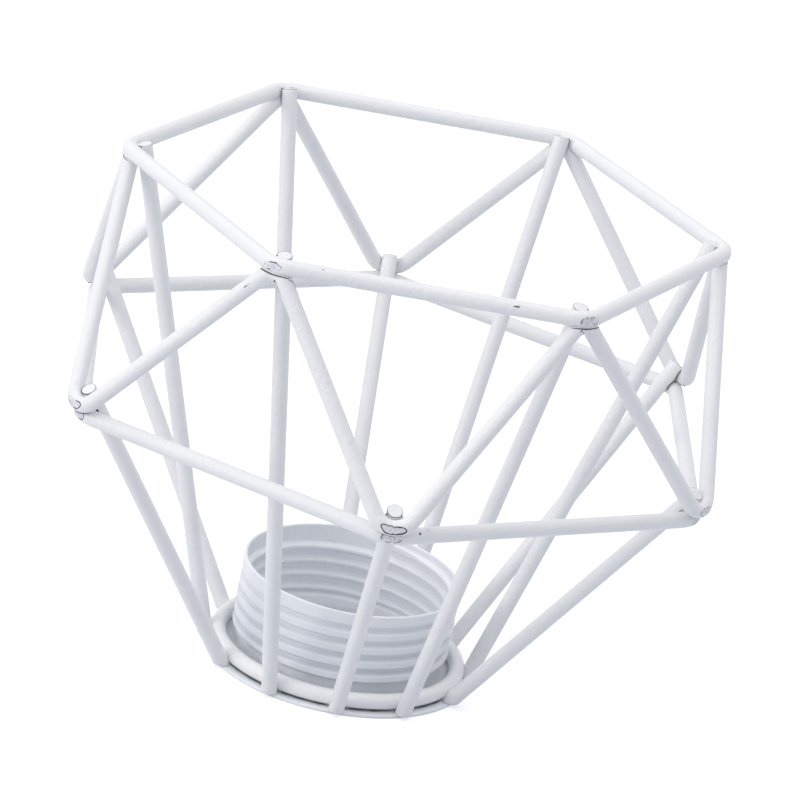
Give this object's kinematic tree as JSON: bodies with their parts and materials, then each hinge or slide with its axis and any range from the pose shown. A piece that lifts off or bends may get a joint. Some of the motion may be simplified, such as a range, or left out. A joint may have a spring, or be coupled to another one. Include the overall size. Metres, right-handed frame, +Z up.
{
  "type": "bulb cage guard",
  "caption": "Faceted wire cage guard for a lamp bulb: hexagonal rim and wider waist tied by a zigzag wire, straight uprights on a threaded sheet-metal collar.",
  "frame": {"origin": "on the collar's axis at the underside of its flange, the face it stands on", "axes": "+Z up along the collar's axis from the flange to the rim; a corner of the rim lies on +X, a corner of the waist on +Y and on -Y, the picture's front"},
  "size_m": [0.1206, 0.136, 0.0967],
  "materials": {
    "powder_coated_wire": "satin white",
    "powder_coated_sheet": "satin white"
  },
  "bodies": {
    "root": {"threaded_collar": "powder_coated_sheet", "base_ring": "powder_coated_wire", "waist_ring": "powder_coated_wire", "rim_ring": "powder_coated_wire", "zigzag_brace": "powder_coated_wire", "rim_upright_1": "powder_coated_wire", "rim_upright_2": "powder_coated_wire", "rim_upright_3": "powder_coated_wire", "rim_upright_4": "powder_coated_wire", "rim_upright_5": "powder_coated_wire", "rim_upright_6": "powder_coated_wire", "waist_upright_1": "powder_coated_wire", "waist_upright_2": "powder_coated_wire", "waist_upright_3": "powder_coated_wire", "waist_upright_4": "powder_coated_wire", "waist_upright_5": "powder_coated_wire", "waist_upright_6": "powder_coated_wire"}
  },
  "joints": []
}
